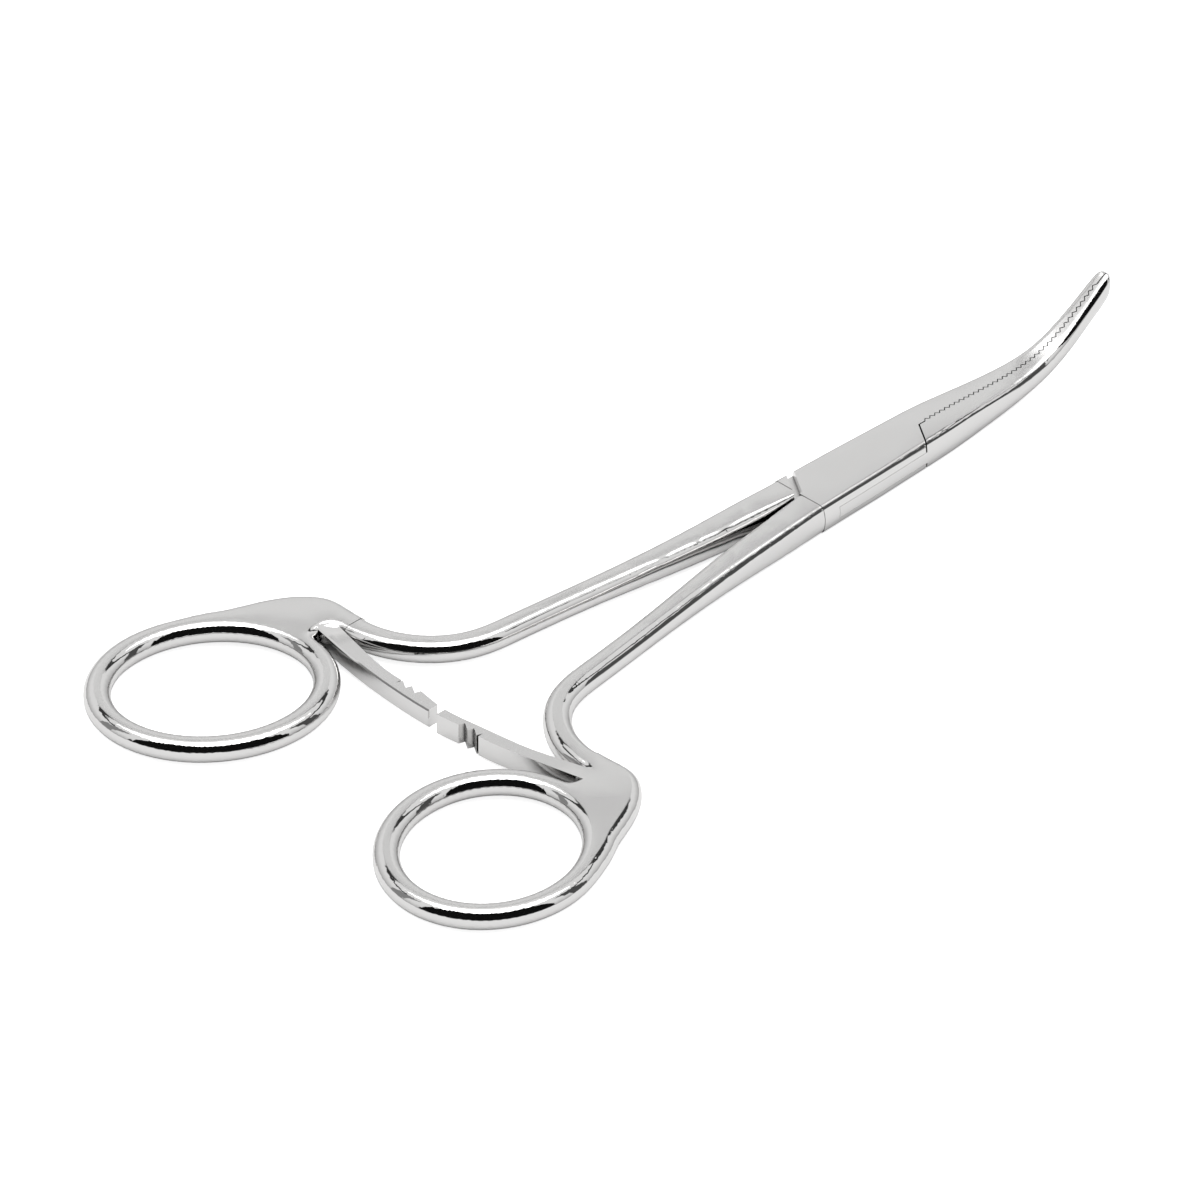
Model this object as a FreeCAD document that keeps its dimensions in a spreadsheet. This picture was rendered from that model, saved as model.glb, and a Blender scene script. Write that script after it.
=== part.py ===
import FreeCAD, Part
import math
import os

# Curved mosquito haemostat, 125 mm long, its jaws shut and its ratchet arms just short of meeting,
# lying on the flat underside of the box.
# Frame: origin on the pin axis at the underside of the box, +X to the jaw tips, +Z up,
# the ring of the male half on the +Y side and the ring of the female half on the -Y side.

doc = FreeCAD.newDocument("haemostat")
sheet = doc.addObject("Spreadsheet::Sheet", "Sizes")

SIZES = [
    # Box lock
    ("box_height", 3.4),
    ("box_wall", 1.0),
    ("box_rear", 8.96),
    ("box_half_width_rear", 3.02),
    ("box_half_width_pin", 2.77),
    ("box_half_width_front", 2.42),
    ("box_front", 8.55),
    ("box_round", 0.6),
    ("box_bulge", 0.8),
    ("shoulder_reach", 8.55),
    ("shoulder_slant", 57.0),
    ("rear_shoulder_gap", 1.1),
    ("front_shoulder_gap", 0.2),
    ("tongue_radius", 7.7),
    ("tongue_play", 0.03),
    ("parting_play", 0.03),
    ("pin_diameter", 2.4),
    ("pin_play", 0.03),
    # Jaws: places back from the tip, half widths of the flat, and heights of the top and bottom lines
    ("jaw_length", 36.5),
    ("jaw_middle_half_width", 1.9),
    ("jaw_middle_top", 3.24),
    ("jaw_middle_bottom", 0.02),
    ("jaw_bend_back", 15.2),
    ("jaw_bend_half_width", 1.4),
    ("jaw_bend_top", 2.98),
    ("jaw_bend_bottom", 0.38),
    ("jaw_rise_back", 9.5),
    ("jaw_rise_half_width", 0.92),
    ("jaw_rise_top", 3.66),
    ("jaw_rise_bottom", 1.3),
    ("jaw_climb_back", 5.2),
    ("jaw_climb_half_width", 0.62),
    ("jaw_climb_top", 5.72),
    ("jaw_climb_bottom", 3.2),
    ("jaw_tip_half_width", 0.38),
    ("jaw_tip_depth", 2.55),
    ("jaw_tip_top", 8.4),
    ("jaw_tip_slope", 33.0),
    ("jaw_nose", 1.0),
    ("jaw_tip_round", 0.7),
    ("jaw_tip_bulge", 0.78),
    ("nose_end_depth", 0.26),
    ("nose_end_half_width", 0.15),
    ("nose_droop", 0.25),
    ("serration_start", 9.4),
    ("serration_pitch", 0.72),
    ("serration_depth", 0.34),
    ("serration_play", 0.07),
    # Shanks: stations from the box to the knuckle, with their place, flat width, thickness and edges
    ("neck_step", 0.05),
    ("neck_inner_y", 0.45),
    ("neck_inner_round", 0.3),
    ("shank_crown", 0.05),
    ("shank_root_x", -12.0),
    ("shank_root_y", 2.0),
    ("shank_root_flat", 2.18),
    ("shank_root_thick", 3.28),
    ("shank_root_round", 0.68),
    ("shank_taper_x", -22.0),
    ("shank_taper_y", 2.84),
    ("shank_taper_flat", 1.5),
    ("shank_taper_thick", 2.9),
    ("shank_taper_round", 0.85),
    ("shank_middle_x", -33.5),
    ("shank_middle_y", 4.28),
    ("shank_middle_flat", 0.8),
    ("shank_middle_thick", 2.52),
    ("shank_middle_round", 1.0),
    ("shank_waist_x", -45.0),
    ("shank_waist_y", 5.73),
    ("shank_waist_flat", 0.8),
    ("shank_bend_x", -49.95),
    ("shank_bend_y", 6.69),
    ("shank_bend_flat", 0.85),
    ("elbow_x", -53.76),
    ("elbow_y", 9.26),
    ("elbow_flat", 0.87),
    ("knuckle_foot_x", -56.88),
    ("knuckle_foot_y", 16.9),
    ("knuckle_foot_flat", 1.3),
    ("knuckle_step", 0.05),
    # Rings and knuckles
    ("ring_thickness", 2.44),
    ("ring_x", -74.3),
    ("ring_y", 20.07),
    ("ring_hole_long", 21.06),
    ("ring_hole_short", 18.05),
    ("ring_band", 2.85),
    ("ring_tilt", -23.5),
    ("ring_round", 1.12),
    ("knuckle_corner_x", -55.4),
    ("knuckle_corner_y", 22.5),
    ("knuckle_heel_x", -57.7),
    ("knuckle_heel_y", 25.2),
    ("knuckle_slope_x", -64.0),
    ("knuckle_slope_y", 28.35),
    ("crotch_x", -60.4),
    ("crotch_y", 18.4),
    ("knuckle_merge_turn", 94.0),
    ("crotch_turn", 15.0),
    # Ratchet arms: three stations, each with its middle and width
    ("arm_root_x", -58.95),
    ("arm_root_y", 19.6),
    ("arm_root_width", 2.1),
    ("arm_bow_x", -60.9),
    ("arm_bow_y", 11.0),
    ("arm_bow_width", 1.65),
    ("arm_rack_x", -61.45),
    ("arm_rack_width", 1.64),
    ("arm_tip_x", -61.85),
    ("arm_tip_width", 1.4),
    ("arm_tip_gap", 1.2),
    ("male_arm_thickness", 2.2),
    ("female_arm_thickness", 2.36),
    ("ratchet_pitch", 1.3),
    ("ratchet_depth", 0.68),
    ("ratchet_flank", 0.26),
    ("ratchet_first", 3.5),
    ("arm_edge", 0.15),
]

for row, (alias, number) in enumerate(SIZES, start=1):
    sheet.set("A%d" % row, alias)
    sheet.set("B%d" % row, str(number))
    sheet.setAlias("B%d" % row, alias)
doc.recompute()


def size(alias):
    return float(sheet.get(alias))


def point(x, y, z=0.0):
    return FreeCAD.Vector(x, y, z)


def bound(feature, **formulas):
    for name, formula in formulas.items():
        feature.setExpression(name.replace("__", "."), formula)
    return feature


def shaped(name, shape):
    feature = doc.addObject("Part::Feature", name)
    feature.Shape = shape
    return feature


def cylinder(name, radius, height, base):
    feature = doc.addObject("Part::Cylinder", name)
    bound(feature, Radius=radius, Height=height, Placement__Base__z=base)
    return feature


def fused(name, pieces):
    feature = doc.addObject("Part::MultiFuse", name)
    feature.Shapes = pieces
    return feature


def common(name, pieces):
    feature = doc.addObject("Part::MultiCommon", name)
    feature.Shapes = pieces
    return feature


def cut(name, base, tool):
    feature = doc.addObject("Part::Cut", name)
    feature.Base = base
    feature.Tool = tool
    return feature


def prism(name, corners, base, height):
    """An upright prism on a plan outline, its foot and height bound to the sheet."""
    loop = [point(x, y) for x, y in corners + corners[:1]]
    outline = shaped(name + "_outline", Part.makePolygon(loop))
    feature = doc.addObject("Part::Extrusion", name)
    feature.Base = outline
    feature.DirMode = "Custom"
    feature.Dir = point(0, 0, 1)
    feature.Solid = True
    bound(feature, LengthFwd=height, Placement__Base__z=base)
    return feature


def forged_section(centre, along, half, low, high, right, left):
    """A closed section across a forging: flat above and below, each side with rounded corners and a
    gentle bulge between them. A side is a pair: the radius of its corners, and its whole bulge."""
    across = point(-along.y, along.x, 0)
    middle = (low + high) / 2

    def at(offset, height):
        return centre + across * offset + point(0, 0, height)

    def side(sign, rounding, bulge):
        """The arcs of one side, from the upper flat to the lower one, tangent to each other."""
        reach = middle - low - rounding
        turn = math.radians(90) - 2 * math.atan((bulge - rounding) / reach)

        def corner(angle, up):
            return at(sign * (half + rounding * math.sin(angle)),
                      middle + up * (reach + rounding * math.cos(angle)))

        return [
            Part.Arc(corner(0, 1), corner(turn / 2, 1), corner(turn, 1)),
            Part.Arc(corner(turn, 1), at(sign * (half + bulge), middle), corner(turn, -1)),
            Part.Arc(corner(turn, -1), corner(turn / 2, -1), corner(0, -1)),
        ]

    edges = [Part.LineSegment(at(-half, high), at(half, high))] + side(1, *left)
    edges.append(Part.LineSegment(at(half, low), at(-half, low)))
    for arc in reversed(side(-1, *right)):
        first, last = arc.FirstParameter, arc.LastParameter
        edges.append(Part.Arc(arc.value(last), arc.value((first + last) / 2), arc.value(first)))
    return Part.Wire([edge.toShape() for edge in edges])


def through(places, values, first_slope=None, last_slope=None):
    """A smooth curve of a value over a place that grows, with its end slopes where they are given."""
    curve = Part.BSplineCurve()
    points = [point(place, value) for place, value in zip(places, values)]
    if first_slope is None:
        curve.interpolate(Points=points)
    else:
        curve.interpolate(Points=points, InitialTangent=point(1, first_slope),
                          FinalTangent=point(1, last_slope))
    return curve


def value_at(curve, place):
    """The value of such a curve at one place, found by halving."""
    low, high = curve.FirstParameter, curve.LastParameter
    halvings = 40
    for turn in range(halvings):
        halfway = (low + high) / 2
        if curve.value(halfway).x < place:
            low = halfway
        else:
            high = halfway
    return curve.value(low).y


# Envelope of the closed box and jaws: both halves together, cut apart further down.
# Each of the three lines of the jaws is a smooth curve from the front of the box to the tip.

middle_plane = size("box_height") / 2
tip_slope = math.tan(math.radians(size("jaw_tip_slope")))
tip_flat = size("jaw_length") - size("jaw_nose")
tip_bottom = size("jaw_tip_top") - size("jaw_tip_depth")
jaw_bend = size("jaw_length") - size("jaw_bend_back")
JAW_PLACES = (size("box_front"), (size("box_front") + jaw_bend) / 2, jaw_bend,
              size("jaw_length") - size("jaw_rise_back"), size("jaw_length") - size("jaw_climb_back"),
              tip_flat)


def jaw_curve(front, line, tip, first_slope, last_slope):
    """One line of the jaws; line is the last word of the four sizes between the box and the tip."""
    between = [size("jaw_%s_%s" % (part, line)) for part in ("middle", "bend", "rise", "climb")]
    return through(JAW_PLACES, [front] + between + [tip], first_slope, last_slope)


box_taper = (size("box_half_width_front") - size("box_half_width_pin")) / size("box_front")
tip_run = size("jaw_climb_back") - size("jaw_nose")
tip_taper = (size("jaw_tip_half_width") - size("jaw_climb_half_width")) / tip_run
jaw_top = jaw_curve(size("box_height"), "top", size("jaw_tip_top"), 0.0, tip_slope)
jaw_bottom = jaw_curve(0.0, "bottom", tip_bottom, 0.0, tip_slope)
jaw_edge = jaw_curve(size("box_half_width_front"), "half_width", size("jaw_tip_half_width"),
                     box_taper, tip_taper)

along_x = point(1, 0, 0)


def jaw_section(x, half, low, high, side):
    return forged_section(point(x, 0), along_x, half, low, high, side, side)


box_side = (size("box_round"), size("box_bulge"))
tip_side = (size("jaw_tip_round"), size("jaw_tip_bulge"))
box_sections = [jaw_section(x, half, 0.0, size("box_height"), box_side) for x, half in (
    (-size("box_rear"), size("box_half_width_rear")),
    (0.0, size("box_half_width_pin")),
    (size("box_front"), size("box_half_width_front")))]
box_block = shaped("box_block", Part.makeLoft(box_sections, True, True))

jaw_sections = []
JAW_SPANS = 12
for span in range(JAW_SPANS + 1):
    share = span / JAW_SPANS
    x = size("box_front") + share * (tip_flat - size("box_front"))
    side = tuple(box + share * (tip - box) for box, tip in zip(box_side, tip_side))
    jaw_sections.append(jaw_section(x, value_at(jaw_edge, x), value_at(jaw_bottom, x),
                                    value_at(jaw_top, x), side))
NOSE_SHARES = (0.4, 0.7, 0.9, 0.98)
for share in NOSE_SHARES:
    left_over = math.sqrt(1 - share * share)
    depth = size("nose_end_depth") + (size("jaw_tip_depth") - size("nose_end_depth")) * left_over
    half = (size("nose_end_half_width")
            + (size("jaw_tip_half_width") - size("nose_end_half_width")) * left_over)
    rise = tip_slope * size("jaw_nose") * share
    top = size("jaw_tip_top") + rise - (size("jaw_tip_depth") - depth) * size("nose_droop")
    side = tuple(number * left_over for number in tip_side)
    jaw_sections.append(jaw_section(tip_flat + share * size("jaw_nose"), half, top - depth, top, side))
jaw_block = shaped("jaw_block", Part.makeLoft(jaw_sections, True, False))
envelope = fused("jaw_envelope", [box_block, jaw_block])


# Serrated parting between the jaws: a zigzag whose ridges stand square to the curved jaw.

jaw_line = through(JAW_PLACES, [(value_at(jaw_top, x) + value_at(jaw_bottom, x)) / 2 for x in JAW_PLACES],
                   0.0, tip_slope)
above_all = size("jaw_tip_top") + size("jaw_tip_depth")
below_all = -size("jaw_tip_depth")
beyond = size("jaw_length")


def parting_points(level, shift):
    """Where the ridges and grooves, carried on square to the jaw, meet the given level."""
    start = jaw_line.parameter(point(size("serration_start"), value_at(jaw_line, size("serration_start"))))
    end = jaw_line.LastParameter
    run = jaw_line.length(start, end)
    count = 2 * int(run / size("serration_pitch"))
    corners = []
    for step in range(count + 1):
        place = jaw_line.parameterAtDistance(step * size("serration_pitch") / 2, start)
        spot = jaw_line.value(place)
        slope = jaw_line.tangent(place)[0]
        side = size("serration_depth") / 2 * (1 if step % 2 else -1)
        corners.append((spot.x - (level - spot.y) * slope.y / slope.x, side + shift))
    return corners


def jaw_side(name, side):
    """All the space on one side of the parting, from the pin to beyond the tips."""
    shift = side * size("serration_play")
    wires = []
    for level in (below_all, above_all):
        teeth = parting_points(level, shift)
        last = 2 * beyond
        corners = [(0.0, shift)] + teeth + [(last, shift), (last, side * beyond), (0.0, side * beyond)]
        wires.append(Part.makePolygon([point(x, y, level) for x, y in corners + corners[:1]]))
    return shaped(name, Part.makeLoft(wires, True, True))


def rear_side(name, side):
    """All the space behind the pin on one side of the middle plane."""
    near = side * size("parting_play")
    corners = [(0.0, near), (-beyond, near), (-beyond, side * beyond), (0.0, side * beyond)]
    return prism(name, corners, "-Sizes.box_height", "3 * Sizes.box_height")


female_side = fused("female_side", [jaw_side("female_jaw_side", 1), rear_side("female_rear_side", -1)])
male_side = fused("male_side", [jaw_side("male_jaw_side", -1), rear_side("male_rear_side", 1)])


# The walls of the box end on slanted lines, so that the shoulders of the male half swing clear.

slant = 1 / math.tan(math.radians(size("shoulder_slant")))


def wall_plan(rear_gap, front_gap):
    reach = 2 * size("box_half_width_rear")
    rear = size("shoulder_reach") + rear_gap
    front = size("shoulder_reach") + front_gap
    return [(-rear - reach * slant, -reach), (-rear + reach * slant, reach),
            (front + reach * slant, reach), (front - reach * slant, -reach)]


walls = prism("walls", wall_plan(0.0, 0.0), "0 * Sizes.box_height", "Sizes.box_height")
shoulder_plan = wall_plan(size("rear_shoulder_gap"), size("front_shoulder_gap"))
shoulders_low = prism("shoulders_low", shoulder_plan, "-Sizes.box_height",
                      "Sizes.box_height + Sizes.box_wall + Sizes.tongue_play")
shoulders_high = prism("shoulders_high", shoulder_plan,
                       "Sizes.box_height - Sizes.box_wall - Sizes.tongue_play",
                       "Sizes.box_height + Sizes.box_wall")

SLOT_FOOT = "Sizes.box_wall"
SLOT_HEIGHT = "Sizes.box_height - 2 * Sizes.box_wall"
slot_disc = cylinder("slot_disc", "Sizes.tongue_radius + Sizes.parting_play", SLOT_HEIGHT, SLOT_FOOT)
slot_layer = prism("slot_layer", [(-beyond, -beyond), (beyond, -beyond), (beyond, beyond),
                                  (-beyond, beyond)], SLOT_FOOT, SLOT_HEIGHT)
tongue_disc = cylinder("tongue_disc", "Sizes.tongue_radius",
                       SLOT_HEIGHT + " - 2 * Sizes.tongue_play", SLOT_FOOT + " + Sizes.tongue_play")


# Ring and knuckle of one handle, drawn for the +Y side: one outline, its edges rounded over.

tilt = math.radians(size("ring_tilt"))
ring_centre = point(size("ring_x"), size("ring_y"))
ring_long = point(math.cos(tilt), math.sin(tilt))
ring_short = point(-math.sin(tilt), math.cos(tilt))


def ring_ellipse(growth):
    long_point = ring_centre + ring_long * (size("ring_hole_long") / 2 + growth)
    short_point = ring_centre + ring_short * (size("ring_hole_short") / 2 + growth)
    return Part.Ellipse(long_point, short_point, ring_centre)


ring_outside = ring_ellipse(size("ring_band"))
merge_parameter = math.radians(size("knuckle_merge_turn"))
crotch_parameter = math.radians(size("crotch_turn"))
merge = ring_outside.value(merge_parameter)
merge_along = ring_outside.tangent(merge_parameter)[0]
leave = ring_outside.value(crotch_parameter + 2 * math.pi)
leave_along = ring_outside.tangent(crotch_parameter)[0]
foot = point(size("knuckle_foot_x"), size("knuckle_foot_y"))
foot_half = size("knuckle_foot_flat") / 2 + size("ring_round")
foot_outer = foot + point(foot_half, 0)
foot_inner = foot - point(foot_half, 0)

knuckle_back = Part.BSplineCurve()
knuckle_points = [point(size(name + "_x"), size(name + "_y"))
                  for name in ("knuckle_corner", "knuckle_heel", "knuckle_slope")]
knuckle_back.interpolate(Points=[foot_outer] + knuckle_points + [merge],
                         InitialTangent=point(0, 1), FinalTangent=merge_along)
crotch = Part.BSplineCurve()
crotch.interpolate(Points=[leave, point(size("crotch_x"), size("crotch_y")), foot_inner],
                   InitialTangent=leave_along, FinalTangent=point(0, -1))

handle = doc.addObject("PartDesign::Body", "handle_end")


def body_sketch(body, name, geometry):
    plane = [p for p in body.Origin.OriginFeatures if p.Role == "XY_Plane"][0]
    sketch = body.newObject("Sketcher::SketchObject", name)
    sketch.AttachmentSupport = [(plane, "")]
    sketch.MapMode = "FlatFace"
    sketch.addGeometry(geometry, False)
    return sketch


handle_sketch = body_sketch(handle, "handle_outline", [
    knuckle_back,
    Part.ArcOfEllipse(ring_outside, merge_parameter, crotch_parameter + 2 * math.pi),
    crotch,
    Part.LineSegment(foot_inner, foot_outer),
    ring_ellipse(0.0),
])
doc.recompute()
handle_pad = handle.newObject("PartDesign::Pad", "handle_pad")
handle_pad.Profile = handle_sketch
bound(handle_pad, Length="Sizes.ring_thickness")
doc.recompute()


def rim_edges(feature, height, keep):
    """Names of the edges that lie in the foot or the head of a pad and that keep() takes."""
    names = []
    for number, edge in enumerate(feature.Shape.Edges, start=1):
        low, high = edge.BoundBox.ZMin, edge.BoundBox.ZMax
        flat = abs(high - low) < 1e-6
        if flat and (abs(low) < 1e-6 or abs(high - height) < 1e-6) and keep(edge):
            names.append("Edge%d" % number)
    return names


def is_curved(edge):
    return edge.Curve.TypeId != "Part::GeomLine"


handle_round = handle.newObject("PartDesign::Fillet", "handle_round")
handle_round.Base = (handle_pad, rim_edges(handle_pad, size("ring_thickness"), is_curved))
bound(handle_round, Radius="Sizes.ring_round")
handle.Tip = handle_round
bound(handle, Placement__Base__z="(Sizes.box_height - Sizes.ring_thickness) / 2")
doc.recompute()


# Shank: a loft through forged sections, from the box, out along the handle and round the elbow.

crown = size("shank_crown")
ring_bulge = size("ring_round") - size("knuckle_step")
ring_side = (ring_bulge - crown, ring_bulge)
neck_flat = size("box_half_width_rear") - size("neck_step") - size("neck_inner_y")
neck_inner_bulge = size("neck_inner_y") - size("parting_play") - size("neck_step")
SHANK_STATIONS = [
    (-size("box_rear"), size("neck_inner_y") + neck_flat / 2, neck_flat,
     size("box_height") - 2 * size("neck_step"), (size("neck_inner_round"), neck_inner_bulge), box_side),
]
for name in ("shank_root", "shank_taper", "shank_middle"):
    side = (size(name + "_round"), size(name + "_round") + crown)
    SHANK_STATIONS.append((size(name + "_x"), size(name + "_y"), size(name + "_flat"),
                           size(name + "_thick"), side, side))
ring_thick = size("ring_thickness")
for name, thick in (("shank_waist", ring_thick), ("shank_bend", ring_thick), ("elbow", ring_thick),
                    ("knuckle_foot", ring_thick - 2 * size("knuckle_step"))):
    SHANK_STATIONS.append((size(name + "_x"), size(name + "_y"), size(name + "_flat"), thick,
                           ring_side, ring_side))

shank_line = Part.BSplineCurve()
shank_line.interpolate(Points=[point(station[0], station[1]) for station in SHANK_STATIONS],
                       InitialTangent=point(-1, 0.06), FinalTangent=point(0, 1))
distances = [shank_line.length(shank_line.FirstParameter, shank_line.parameter(point(x, y)))
             if number else 0.0 for number, (x, y, *rest) in enumerate(SHANK_STATIONS)]
shank_curves = [through(distances, values) for values in zip(*[
    (flat, thick, *inner, *outer) for x, y, flat, thick, inner, outer in SHANK_STATIONS])]
sections = []
SHANK_SPANS = 18
for span in range(SHANK_SPANS + 1):
    distance = distances[-1] * span / SHANK_SPANS
    place = shank_line.parameterAtDistance(distance, shank_line.FirstParameter)
    flat, thick, inner_round, inner_bulge, outer_round, outer_bulge = [
        value_at(curve, distance) for curve in shank_curves]
    sections.append(forged_section(shank_line.value(place), shank_line.tangent(place)[0], flat / 2,
                                   middle_plane - thick / 2, middle_plane + thick / 2,
                                   (outer_round, outer_bulge), (inner_round, inner_bulge)))
shank = shaped("shank", Part.makeLoft(sections, True, False))


# Ratchet arm: from the knuckle to the middle, three saw teeth on the face that meets the other arm.

def ratchet_arm(name, facing, thickness):
    """facing is 1 for teeth that look to the jaws and -1 for teeth that look to the rings."""
    tip_y = size("arm_tip_gap") / 2
    steep = size("ratchet_flank")
    rack_y = size("ratchet_first") + 2 * size("ratchet_pitch") + steep
    middles = {"root": size("arm_root_y"), "bow": size("arm_bow_y"), "rack": rack_y, "tip": tip_y}

    def edge_point(station, side):
        x = size("arm_%s_x" % station) + side * size("arm_%s_width" % station) / 2
        return point(x, middles[station])

    lean = edge_point("bow", 0) - edge_point("root", 0)
    down = point(0, -1)
    back = Part.BSplineCurve()
    back.interpolate(Points=[edge_point(station, -facing) for station in ("root", "bow", "rack", "tip")],
                     InitialTangent=lean, FinalTangent=down)
    front = Part.BSplineCurve()
    front.interpolate(Points=[edge_point(station, facing) for station in ("root", "bow", "rack")],
                      InitialTangent=lean, FinalTangent=down)
    peak_x = edge_point("rack", facing).x
    valley_x = peak_x - facing * size("ratchet_depth")
    corners = [edge_point("rack", facing)]
    for tooth in (2, 1, 0):
        peak_y = size("ratchet_first") + tooth * size("ratchet_pitch")
        corners.append(point(valley_x, peak_y + steep))
        corners.append(point(peak_x, peak_y))
    corners += [edge_point("tip", facing), edge_point("tip", -facing)]
    lines = [Part.LineSegment(a, b) for a, b in zip(corners, corners[1:])]
    closing = Part.LineSegment(edge_point("root", -facing), edge_point("root", facing))

    def is_plain_side(edge):
        """The side with no teeth is the curve that runs on past the rack to the tip."""
        return is_curved(edge) and edge.BoundBox.YMin < size("ratchet_first")

    body = doc.addObject("PartDesign::Body", name)
    sketch = body_sketch(body, name + "_outline", [back, front] + lines + [closing])
    doc.recompute()
    pad = body.newObject("PartDesign::Pad", name + "_pad")
    pad.Profile = sketch
    bound(pad, Length="Sizes." + thickness)
    doc.recompute()
    ease = body.newObject("PartDesign::Chamfer", name + "_ease")
    ease.Base = (pad, rim_edges(pad, size(thickness), is_plain_side))
    bound(ease, Size="Sizes.arm_edge")
    body.Tip = ease
    bound(body, Placement__Base__z="(Sizes.box_height - Sizes.%s) / 2" % thickness)
    doc.recompute()
    return body


male_arm = ratchet_arm("male_arm", 1, "male_arm_thickness")
female_arm = ratchet_arm("female_arm", -1, "female_arm_thickness")

male_handle = fused("male_handle", [handle, shank, male_arm])
female_handle_upper = fused("female_handle_upper", [handle, shank, female_arm])
female_handle = doc.addObject("Part::Mirroring", "female_handle")
female_handle.Source = female_handle_upper
female_handle.Base = point(0, 0)
female_handle.Normal = point(0, 1)


# The three pieces of the instrument.

wall_hole = cylinder("wall_hole", "Sizes.pin_diameter / 2", "3 * Sizes.box_height", "-Sizes.box_height")
tongue_hole = cylinder("tongue_hole", "Sizes.pin_diameter / 2 + Sizes.pin_play",
                       "3 * Sizes.box_height", "-Sizes.box_height")

female_plan = fused("female_plan", [female_side, walls])
female_front = common("female_front", [envelope, female_plan])
female_solid = fused("female_solid", [female_front, female_handle])
slot_sides = common("slot_sides", [fused("slot_reach", [male_side, slot_disc]), slot_layer])
female_slotted = cut("female_slotted", female_solid, slot_sides)
female = cut("female", female_slotted, wall_hole)
female.Label = "female_half"

male_front = common("male_front", [envelope, male_side])
male_solid = fused("male_solid", [male_front, male_handle])
male_shouldered = cut("male_shouldered", male_solid, fused("shoulders", [shoulders_low, shoulders_high]))
tongue = common("tongue", [envelope, tongue_disc])
male_whole = fused("male_whole", [male_shouldered, tongue])
male = cut("male", male_whole, tongue_hole)
male.Label = "male_half"

pin = cylinder("pin", "Sizes.pin_diameter / 2", "Sizes.box_height", "0 * Sizes.box_height")
pin.Label = "pivot_pin"

doc.recompute()

for feature in doc.Objects:
    if "Invalid" in feature.State or "Error" in feature.State:
        raise RuntimeError("%s did not build: %s" % (feature.Name, feature.State))

os.makedirs("parts", exist_ok=True)
for piece in (female, male, pin):
    shape = piece.Shape
    if shape.isNull() or not shape.isValid() or len(shape.Solids) != 1:
        raise RuntimeError("%s is not one sound solid: %d" % (piece.Label, len(shape.Solids)))
    shape.exportStep("parts/%s.step" % piece.Label)
    print(piece.Label, "volume %.1f" % shape.Volume, shape.BoundBox)
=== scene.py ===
import bmesh
import bpy
import math
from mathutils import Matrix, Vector


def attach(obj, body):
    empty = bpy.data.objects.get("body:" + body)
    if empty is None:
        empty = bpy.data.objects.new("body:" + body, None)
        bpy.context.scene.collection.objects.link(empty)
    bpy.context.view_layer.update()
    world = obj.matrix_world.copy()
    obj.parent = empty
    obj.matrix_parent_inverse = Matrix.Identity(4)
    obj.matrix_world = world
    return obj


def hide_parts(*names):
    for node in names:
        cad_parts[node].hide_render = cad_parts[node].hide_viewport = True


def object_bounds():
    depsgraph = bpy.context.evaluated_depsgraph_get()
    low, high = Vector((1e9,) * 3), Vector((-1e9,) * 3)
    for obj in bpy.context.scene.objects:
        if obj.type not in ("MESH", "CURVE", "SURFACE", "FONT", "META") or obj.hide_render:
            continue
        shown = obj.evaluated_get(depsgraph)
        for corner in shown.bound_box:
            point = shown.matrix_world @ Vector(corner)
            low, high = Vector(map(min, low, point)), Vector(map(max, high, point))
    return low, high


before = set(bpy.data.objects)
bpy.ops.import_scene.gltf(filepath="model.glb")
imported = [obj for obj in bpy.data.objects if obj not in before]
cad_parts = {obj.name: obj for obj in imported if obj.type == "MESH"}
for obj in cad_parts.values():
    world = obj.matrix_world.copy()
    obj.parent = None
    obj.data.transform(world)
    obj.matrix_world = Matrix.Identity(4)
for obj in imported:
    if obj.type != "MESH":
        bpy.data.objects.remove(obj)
cad_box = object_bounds()


# Female half: one stainless steel forging with the box of the lock, a shank, a finger ring, a
# ratchet arm and the upper jaw. It is forged, milled and then polished: the flat faces are left
# satin, and the rounded sides are as bright as a mirror.

def feed(tree, made, inputs):
    """Link an output to each input of a node, or give the input a plain number or colour."""
    for socket, value in inputs.items():
        if isinstance(value, bpy.types.NodeSocket):
            tree.links.new(value, made.inputs[socket])
        else:
            made.inputs[socket].default_value = value


def node(tree, kind, inputs=None, **settings):
    """A new node, first with its settings and then with its inputs."""
    made = tree.nodes.new(kind)
    for setting, value in settings.items():
        setattr(made, setting, value)
    feed(tree, made, inputs or {})
    return made


def maths(tree, operation, first, second=0.0, clamp=False):
    """The result of one step of arithmetic on two numbers or outputs."""
    made = node(tree, "ShaderNodeMath", {0: first, 1: second}, operation=operation, use_clamp=clamp)
    return made.outputs[0]


def map_range(tree, value, low, high, at_low=0.0, at_high=1.0, blend="LINEAR"):
    """A value mapped from one range to another, and held at the ends of the second."""
    limits = {"Value": value, "From Min": low, "From Max": high, "To Min": at_low, "To Max": at_high}
    return node(tree, "ShaderNodeMapRange", limits, interpolation_type=blend).outputs["Result"]


def blend_colours(tree, share, first, second):
    """The first colour where the share is 0, and the second where it is 1."""
    mix = node(tree, "ShaderNodeMix", {"Factor": share, "A": first, "B": second}, data_type="RGBA")
    return mix.outputs["Result"]


def grey(level):
    return (level, level, level, 1.0)


def new_group(name, inputs, outputs):
    """A shader node group with number inputs, each with its default, and number outputs."""
    group = bpy.data.node_groups.new(name, "ShaderNodeTree")
    for socket, default in inputs.items():
        made = group.interface.new_socket(socket, in_out="INPUT", socket_type="NodeSocketFloat")
        made.default_value = default
    for socket in outputs:
        group.interface.new_socket(socket, in_out="OUTPUT", socket_type="NodeSocketFloat")
    return group, group.nodes.new("NodeGroupInput"), group.nodes.new("NodeGroupOutput")


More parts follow.
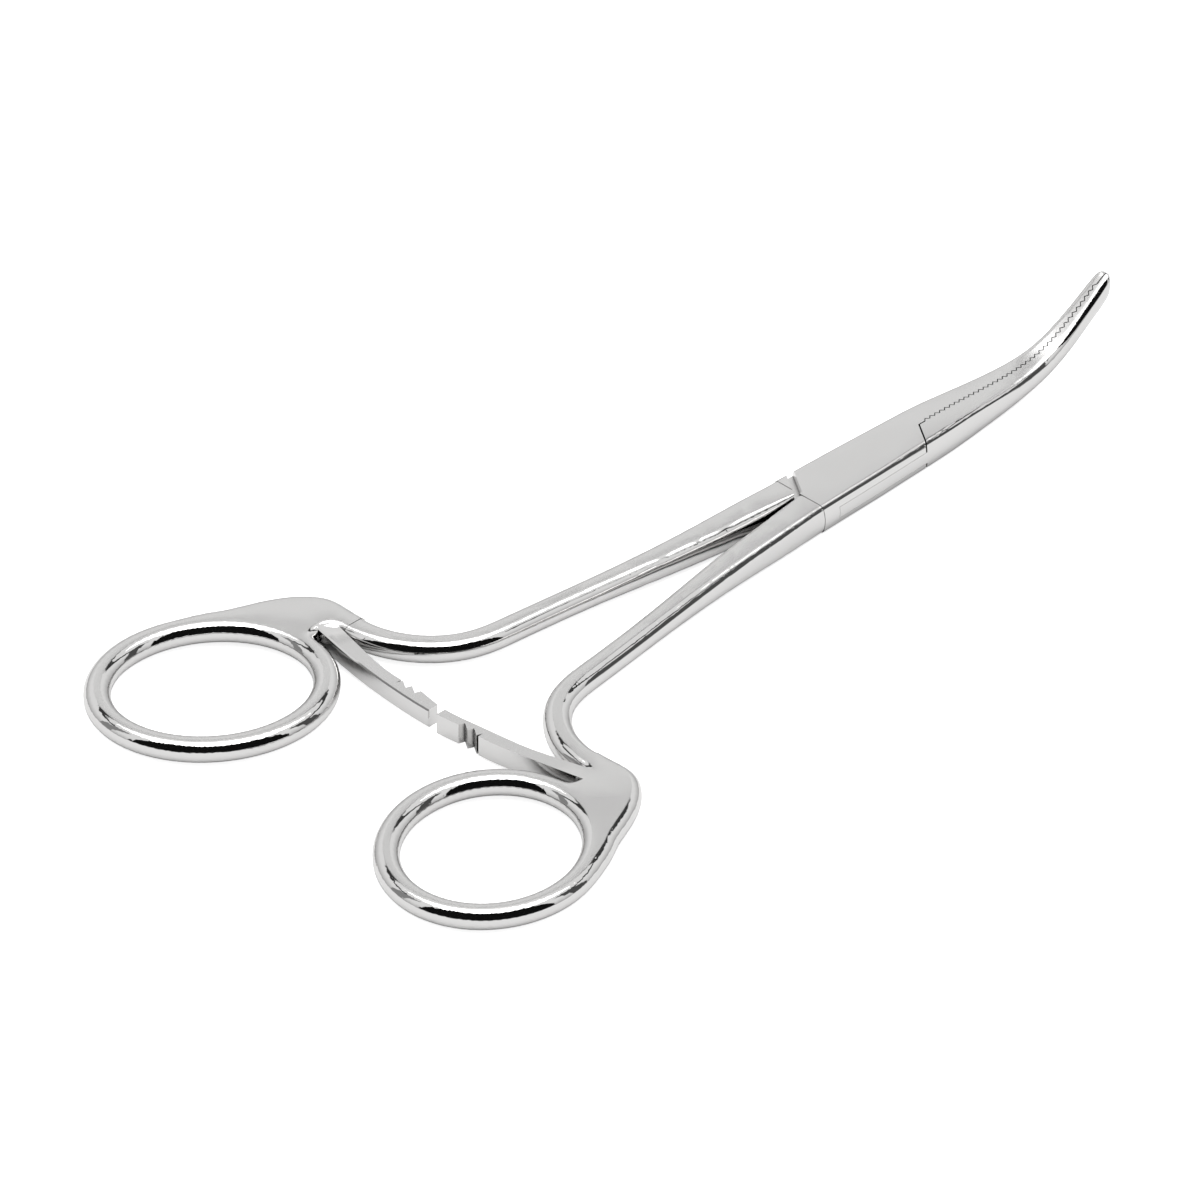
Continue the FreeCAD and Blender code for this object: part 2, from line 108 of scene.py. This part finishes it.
FORGED_GRAIN_SCALE = 900.0
GRAIN_STRETCH = 14.0
GRAIN_DETAIL = 3.0
GRAIN_SHARE = 0.5
CLOUD_SCALE = 120.0
CLOUD_DETAIL = 4.0


def polish_group():
    """Fine polishing marks along the forceps: a mask for the roughness, and a height for the bump."""
    group, enter, leave = new_group(
        "polishing marks", {"Scale": FORGED_GRAIN_SCALE, "Stretch": GRAIN_STRETCH}, ("Mask", "Height"))
    place = node(group, "ShaderNodeTexCoord")
    across = enter.outputs["Stretch"]
    stretch = node(group, "ShaderNodeCombineXYZ", {"X": 1.0, "Y": across, "Z": across})
    drawn_out = node(group, "ShaderNodeVectorMath", {0: place.outputs["Object"], 1: stretch.outputs[0]},
                     operation="MULTIPLY")
    grain = node(group, "ShaderNodeTexNoise", {
        "Vector": drawn_out.outputs[0], "Scale": enter.outputs["Scale"], "Detail": GRAIN_DETAIL})
    clouds = node(group, "ShaderNodeTexNoise", {
        "Vector": place.outputs["Object"], "Scale": CLOUD_SCALE, "Detail": CLOUD_DETAIL})
    fine = maths(group, "MULTIPLY", grain.outputs[0], GRAIN_SHARE)
    broad = maths(group, "MULTIPLY", clouds.outputs[0], 1.0 - GRAIN_SHARE)
    feed(group, leave, {"Mask": maths(group, "ADD", fine, broad, clamp=True), "Height": grain.outputs[0]})
    return group


# Where the jaws begin to slope, and how upright a face stands where its satin begins and is full
JAW_SLOPE_START = 0.010
JAW_SLOPE_END = 0.020
SATIN_BEGINS_ON_BOX = 0.985
SATIN_BEGINS_ON_JAWS = 0.72
SATIN_FULL_ON_BOX = 0.998
SATIN_FULL_ON_JAWS = 0.84


def flat_face_group():
    """1 on the flat faces and 0 on the rounded sides. Past the box the jaws slope, and so may the flat."""
    group, _, leave = new_group("flat face mask", {}, ("Mask",))
    place = node(group, "ShaderNodeTexCoord")
    facing = node(group, "ShaderNodeSeparateXYZ", {"Vector": place.outputs["Normal"]})
    along = node(group, "ShaderNodeSeparateXYZ", {"Vector": place.outputs["Object"]}).outputs["X"]
    slope = (JAW_SLOPE_START, JAW_SLOPE_END)
    begins = map_range(group, along, *slope, SATIN_BEGINS_ON_BOX, SATIN_BEGINS_ON_JAWS)
    full = map_range(group, along, *slope, SATIN_FULL_ON_BOX, SATIN_FULL_ON_JAWS)
    upright = maths(group, "ABSOLUTE", facing.outputs["Z"])
    feed(group, leave, {"Mask": map_range(group, upright, begins, full, blend="SMOOTHSTEP")})
    return group


# How far the painted shade of a crevice reaches, and the open share of the view at which it is darkest and
# gone
CREVICE_REACH = 0.0007
CREVICE_DARKEST = 0.3
CREVICE_GONE = 0.75
CREVICE_SAMPLES = 12


def painted_crevice_shade_group():
    """A mask for painted shade: 0 deep in a narrow gap, such as the parting of the jaws or a ratchet
    groove, and 1 in the open.
    """
    group, enter, leave = new_group("crevice shade", {"Reach": CREVICE_REACH}, ("Open",))
    view = node(group, "ShaderNodeAmbientOcclusion", {"Distance": enter.outputs["Reach"]},
                samples=CREVICE_SAMPLES)
    feed(group, leave, {"Open": map_range(group, view.outputs["AO"], CREVICE_DARKEST, CREVICE_GONE)})
    return group


POLISH = polish_group()
PAINTED_CREVICE_SHADE = painted_crevice_shade_group()
FLAT_FACE = flat_face_group()
STEEL_COLOUR = (0.69, 0.685, 0.68, 1.0)
# Painted shade: the grey that the steel's colour is darkened to deep in crevices, where shade falls.
PAINTED_CREVICE_SHADE_COLOUR = grey(0.05)
SATIN_ROUGHNESS = 0.26
MIRROR_ROUGHNESS = 0.04
ROUGHNESS_SPREAD = 0.03
MARK_MIDDLE = 0.5
MARK_STRENGTH = 0.04
MARK_DEPTH = 0.00002


def new_material(name):
    material = bpy.data.materials.new(name)
    material.use_nodes = True
    return material, material.node_tree


def steel(name, grain_scale):
    """Polished steel: satin flats, bright sides, fine polishing marks and painted shade in the crevices.
    """
    material, tree = new_material(name)
    crevice = node(tree, "ShaderNodeGroup", node_tree=PAINTED_CREVICE_SHADE)
    polish = node(tree, "ShaderNodeGroup", {"Scale": grain_scale}, node_tree=POLISH)
    flat = node(tree, "ShaderNodeGroup", node_tree=FLAT_FACE)
    satin = maths(tree, "MULTIPLY", flat.outputs["Mask"], SATIN_ROUGHNESS - MIRROR_ROUGHNESS)
    even = maths(tree, "ADD", satin, MIRROR_ROUGHNESS)
    mark = maths(tree, "SUBTRACT", polish.outputs["Mask"], MARK_MIDDLE)
    spread = maths(tree, "MULTIPLY", mark, ROUGHNESS_SPREAD)
    bump = node(tree, "ShaderNodeBump", {
        "Strength": MARK_STRENGTH, "Distance": MARK_DEPTH, "Height": polish.outputs["Height"]})
    feed(tree, tree.nodes["Principled BSDF"], {
        # Painted shade: the steel's base colour is darkened in narrow crevices, where shade falls.
        "Base Color": blend_colours(tree, crevice.outputs["Open"], PAINTED_CREVICE_SHADE_COLOUR, STEEL_COLOUR),
        "Metallic": 1.0,
        "Roughness": maths(tree, "ADD", even, spread, clamp=True),
        "Normal": bump.outputs[0]})
    return material


def placed(name, data):
    """A new object in the scene, at the origin."""
    made = bpy.data.objects.new(name, data)
    bpy.context.scene.collection.objects.link(made)
    return made


def finished(name, shape, material):
    """A shape made into an object, in its material."""
    data = bpy.data.meshes.new(name)
    shape.to_mesh(data)
    shape.free()
    data.materials.append(material)
    return placed(name, data)


FORGED_STEEL = steel("forged steel", FORGED_GRAIN_SCALE)
SMOOTH_ANGLE = math.radians(24.0)
WELD_DISTANCE = 0.000002


def dressed(node_name, material, body):
    """A welded, smooth-shaded copy of a solid, which stands in its place."""
    shape = bmesh.new()
    shape.from_mesh(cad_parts[node_name].data)
    bmesh.ops.remove_doubles(shape, verts=shape.verts, dist=WELD_DISTANCE)
    for face in shape.faces:
        face.smooth = True
    for edge in shape.edges:
        edge.smooth = len(edge.link_faces) == 2 and edge.calc_face_angle(0.0) < SMOOTH_ANGLE
    piece = finished(node_name + "_polished", shape, material)
    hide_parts(node_name)
    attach(piece, body)


dressed("female_half", FORGED_STEEL, "female")


# Male half: the matching stainless steel forging, with the other jaw, shank, ring and ratchet arm.
# Its thin tongue passes through the slot of the box, and it is polished in the same way.

dressed("male_half", FORGED_STEEL, "male")


# Pivot pin: a turned steel pin, pressed in both walls of the box. Its ends are ground flush with
# the flat faces, and the tongue of the male half swings on it.

PIN_GRAIN_SCALE = 1500.0

dressed("pivot_pin", steel("pin steel", PIN_GRAIN_SCALE), "female")


# Floor: a wide sheet of matt pale card that the forceps lie on. It glows for the camera alone, so
# that it photographs as white, and the glow lights nothing.

FLOOR_SIZE = 8.0
FLOOR_DROP = 0.00002
FLOOR_COLOUR = grey(0.76)
FLOOR_ROUGHNESS = 0.9
FLOOR_GLOW = 0.75
WHITE = grey(1.0)


def pale_card():
    material, tree = new_material("pale card")
    ray = node(tree, "ShaderNodeLightPath")
    feed(tree, tree.nodes["Principled BSDF"], {
        "Base Color": FLOOR_COLOUR,
        "Roughness": FLOOR_ROUGHNESS,
        "Specular IOR Level": 0.0,
        "Emission Color": WHITE,
        "Emission Strength": maths(tree, "MULTIPLY", ray.outputs["Is Camera Ray"], FLOOR_GLOW)})
    return material


sheet = bmesh.new()
bmesh.ops.create_grid(sheet, x_segments=1, y_segments=1, size=FLOOR_SIZE / 2)
bmesh.ops.translate(sheet, verts=sheet.verts, vec=(0.0, 0.0, cad_box[0].z - FLOOR_DROP))
floor = finished("floor", sheet, pale_card())


# Boards: curved boards of dark and grey paint, bent round the object outside the picture. Only
# reflections see them: they give the bright sides of the steel their dark bands.

CAMERA_AZIMUTH = math.radians(-45.4)
CAMERA_ELEVATION = math.radians(35.2)
BOARD_DISTANCE = 0.7
BOARD_STEPS = 24


def outward(azimuth, elevation):
    """The direction from the object at an azimuth round it and an elevation above the floor."""
    return Vector((math.sin(azimuth) * math.cos(elevation),
                   -math.cos(azimuth) * math.cos(elevation), math.sin(elevation)))


def even_paint(name, level):
    """A paint that shows one grey, whatever light falls on it."""
    material, tree = new_material(name)
    tree.nodes.remove(tree.nodes["Principled BSDF"])
    shown = node(tree, "ShaderNodeEmission", {"Color": grey(level)})
    feed(tree, tree.nodes["Material Output"], {"Surface": shown.outputs[0]})
    return material


def curved_board(name, first, last, low, high, level):
    """A board of one grey, between two azimuths from the camera and two elevations, in degrees."""
    start = CAMERA_AZIMUTH + math.radians(first)
    shape = bmesh.new()
    foot = shape.verts.new(outward(start, math.radians(low)) * BOARD_DISTANCE)
    head = shape.verts.new(outward(start, math.radians(high)) * BOARD_DISTANCE)
    upright = shape.edges.new((foot, head))
    bmesh.ops.spin(shape, geom=[foot, head, upright], cent=(0.0, 0.0, 0.0), axis=(0.0, 0.0, 1.0),
                   angle=math.radians(last - first), steps=BOARD_STEPS)
    board = finished(name, shape, even_paint(name, level))
    board.visible_camera = False
    board.visible_shadow = False
    board.visible_diffuse = False


curved_board("black_board", first=-62.0, last=62.0, low=4.0, high=70.0, level=0.006)
curved_board("left_board", first=-98.0, last=-82.0, low=4.0, high=50.0, level=0.3)
curved_board("right_board", first=80.0, last=99.0, low=4.0, high=52.0, level=0.09)
curved_board("far_gap", first=99.0, last=262.0, low=41.0, high=46.5, level=0.05)


# Light: one large square softbox, a little over a metre above the forceps. It lights the satin
# flats evenly and leaves soft shadows on the card.

SOFTBOX_PLACE = Vector((0.1, 0.1, 1.2))
SOFTBOX_AIM = Vector((-0.02, 0.0, 0.0))
SOFTBOX_SIZE = 1.1
SOFTBOX_POWER = 9.0

softbox = bpy.data.lights.new("overhead_softbox", "AREA")
softbox.size = SOFTBOX_SIZE
softbox.energy = SOFTBOX_POWER
lamp = placed("overhead_softbox", softbox)
lamp.location = SOFTBOX_PLACE
lamp.rotation_euler = (SOFTBOX_AIM - SOFTBOX_PLACE).to_track_quat("-Z", "Y").to_euler()


# Room: walls that are mid grey up to the horizon and grow paler up to a height of 30 degrees. The
# camera sees plain white in their place.

ROOM_AT_HORIZON = grey(0.5)
ROOM_OVERHEAD = grey(0.96)
HORIZON = 0.0
PALEST_FROM = math.sin(math.radians(30.0))

room = bpy.data.worlds.new("room")
bpy.context.scene.world = room
room.use_nodes = True
around = node(room.node_tree, "ShaderNodeTexCoord")
height = node(room.node_tree, "ShaderNodeSeparateXYZ", {"Vector": around.outputs["Generated"]})
walls = node(room.node_tree, "ShaderNodeValToRGB", {"Fac": height.outputs["Z"]})
lower, upper = walls.color_ramp.elements
lower.position = HORIZON
lower.color = ROOM_AT_HORIZON
upper.position = PALEST_FROM
upper.color = ROOM_OVERHEAD
ray = node(room.node_tree, "ShaderNodeLightPath")
backdrop = blend_colours(room.node_tree, ray.outputs["Is Camera Ray"], walls.outputs[0], WHITE)
feed(room.node_tree, room.node_tree.nodes["Background"], {"Color": backdrop})


# Camera: a long lens at the photograph's angle, aimed at the middle of the picture. It stands
# about four metres off, so that near and far parts come out at nearly the same scale.

PICTURE_WIDTH = 0.1230
PICTURE_CENTRE = Vector((-0.03674, 0.00139, 0.00322))
LENS = 1200.0
NEAREST_SEEN = 0.01
FARTHEST_SEEN = 10.0

lens = bpy.data.cameras.new("camera")
lens.lens = LENS
camera_distance = PICTURE_WIDTH * LENS / lens.sensor_width
lens.clip_start = camera_distance * NEAREST_SEEN
lens.clip_end = camera_distance * FARTHEST_SEEN
camera = placed("camera", lens)
away = outward(CAMERA_AZIMUTH, CAMERA_ELEVATION)
camera.location = PICTURE_CENTRE + away * camera_distance
camera.rotation_euler = (-away).to_track_quat("-Z", "Y").to_euler()
bpy.context.scene.camera = camera
bpy.context.scene.view_settings.view_transform = "Standard"
